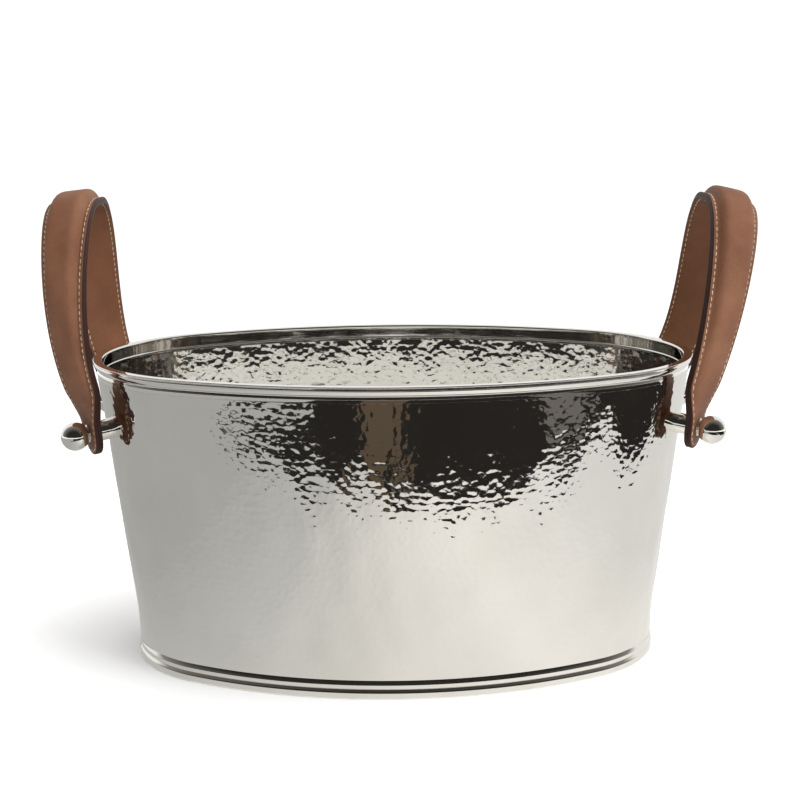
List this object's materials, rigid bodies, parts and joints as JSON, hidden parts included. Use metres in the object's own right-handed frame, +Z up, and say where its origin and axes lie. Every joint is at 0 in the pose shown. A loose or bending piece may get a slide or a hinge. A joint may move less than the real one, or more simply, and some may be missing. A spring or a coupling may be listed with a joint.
{
  "type": "champagne bucket",
  "caption": "Oval hammered metal bucket with a polished rim and foot, and padded leather loop handles on ball-headed studs.",
  "frame": {"origin": "centre of the oval footprint, on the surface that the foot stands on", "axes": "+X towards the right handle, -Y towards the front, +Z up"},
  "size_m": [0.5182, 0.291, 0.3523],
  "materials": {
    "hammered_nickel": "polished nickel plate over hammered metal",
    "polished_nickel": "mirror polished nickel plate",
    "brushed_nickel": "satin nickel plate",
    "steel": "bright plated steel",
    "rubber_seal": "matt black rubber",
    "leather": "smooth tan leather with dark burnished edges",
    "leather_lining": "darker tan lining leather",
    "padding": "dense felt padding, hidden"
  },
  "bodies": {
    "root": {"wall": "hammered_nickel", "floor_plate": "brushed_nickel", "rim_moulding": "polished_nickel", "foot_ring": "polished_nickel", "left_front_knob": "polished_nickel", "left_front_stud": "steel", "left_front_spacer": "polished_nickel", "left_front_sealing_washer": "rubber_seal", "left_front_flat_washer": "steel", "left_front_cap_nut": "steel", "left_front_tab_cover": "leather", "left_front_tab_lining": "leather_lining", "left_rear_knob": "polished_nickel", "left_rear_stud": "steel", "left_rear_spacer": "polished_nickel", "left_rear_sealing_washer": "rubber_seal", "left_rear_flat_washer": "steel", "left_rear_cap_nut": "steel", "left_rear_tab_cover": "leather", "left_rear_tab_lining": "leather_lining", "right_front_knob": "polished_nickel", "right_front_stud": "steel", "right_front_spacer": "polished_nickel", "right_front_sealing_washer": "rubber_seal", "right_front_flat_washer": "steel", "right_front_cap_nut": "steel", "right_front_tab_cover": "leather", "right_front_tab_lining": "leather_lining", "right_rear_knob": "polished_nickel", "right_rear_stud": "steel", "right_rear_spacer": "polished_nickel", "right_rear_sealing_washer": "rubber_seal", "right_rear_flat_washer": "steel", "right_rear_cap_nut": "steel", "right_rear_tab_cover": "leather", "right_rear_tab_lining": "leather_lining"},
    "left_handle": {"left_strap_cover": "leather", "left_strap_core": "padding", "left_strap_lining": "leather_lining"},
    "right_handle": {"right_strap_cover": "leather", "right_strap_core": "padding", "right_strap_lining": "leather_lining"}
  },
  "joints": [
    {"name": "left_handle_flex", "type": "hinge", "parent": "root", "child": "left_handle", "pos_m": [-0.21897, 0, 0.20703], "axis": [0, -1, 0], "range_deg": [-12, 40]},
    {"name": "right_handle_flex", "type": "hinge", "parent": "root", "child": "right_handle", "pos_m": [0.21897, 0, 0.20703], "axis": [0, 1, 0], "range_deg": [-18, 33]}
  ]
}
